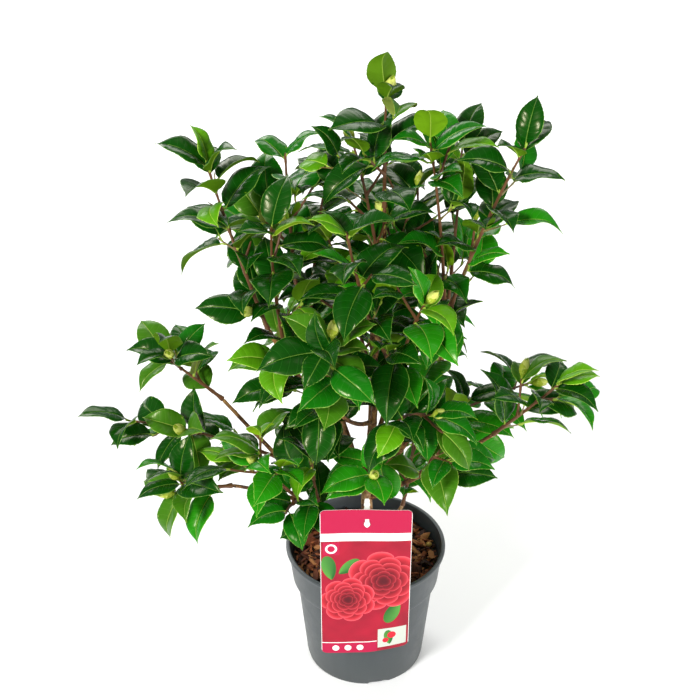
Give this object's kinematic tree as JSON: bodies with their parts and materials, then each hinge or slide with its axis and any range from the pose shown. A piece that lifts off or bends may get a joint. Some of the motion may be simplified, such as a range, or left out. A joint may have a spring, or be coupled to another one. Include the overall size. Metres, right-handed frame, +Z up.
{
  "type": "potted camellia shrub",
  "caption": "Young evergreen camellia shrub with glossy leaves and fat buds, standing in a dark plastic nursery pot with a care label.",
  "frame": {"origin": "centre of the pot's flat underside, on the surface that it stands on", "axes": "+Z up along the pot's axis; the care label faces -Y; +X is to the right as seen from the label's side"},
  "size_m": [0.5696, 0.4521, 0.7629],
  "materials": {
    "pot": "satin injection-moulded polypropylene",
    "potting_mix": "loose moist bark chips",
    "label_card": "printed plastic card",
    "label_stake": "plain white plastic",
    "stem_bark": "smooth light brown bark",
    "bough_bark": "smooth red-brown young bark",
    "foliage": "glossy leathery leaves"
  },
  "bodies": {
    "root": {"pot": "pot", "potting_mix": "potting_mix", "care_label": "label_card", "label_stake": "label_stake", "trunk": "stem_bark", "left_stem": "stem_bark", "right_stem": "stem_bark", "central_bough": "bough_bark", "left_bough": "bough_bark", "right_bough": "bough_bark", "top_bough": "bough_bark", "centre_left_bough": "bough_bark", "front_bough": "bough_bark", "front_mid_bough": "bough_bark", "right_low_bough": "bough_bark", "left_low_bough": "bough_bark", "lowest_left_bough": "bough_bark", "front_left_bough": "bough_bark", "back_left_bough": "bough_bark", "back_right_bough": "bough_bark", "back_bough": "bough_bark", "top_foliage": "foliage", "crown_left_foliage": "foliage", "centre_right_foliage": "foliage", "centre_foliage": "foliage", "centre_left_foliage": "foliage", "centre_back_foliage": "foliage", "upper_left_foliage": "foliage", "left_inner_foliage": "foliage", "left_flank_foliage": "foliage", "front_upper_foliage": "foliage", "upper_right_foliage": "foliage", "right_crown_foliage": "foliage", "right_inner_foliage": "foliage", "right_flank_foliage": "foliage", "right_mid_foliage": "foliage", "front_foliage": "foliage", "front_right_foliage": "foliage", "front_low_foliage": "foliage", "front_mid_foliage": "foliage", "trunk_front_foliage": "foliage", "right_low_foliage": "foliage", "right_low_front_foliage": "foliage", "right_basal_foliage": "foliage", "left_low_foliage": "foliage", "far_left_foliage": "foliage", "lowest_left_foliage": "foliage", "front_left_foliage": "foliage", "left_basal_foliage": "foliage", "trunk_left_foliage": "foliage", "back_left_foliage": "foliage", "back_left_low_foliage": "foliage", "back_right_foliage": "foliage", "back_right_low_foliage": "foliage", "back_foliage": "foliage", "back_low_foliage": "foliage"}
  },
  "joints": []
}
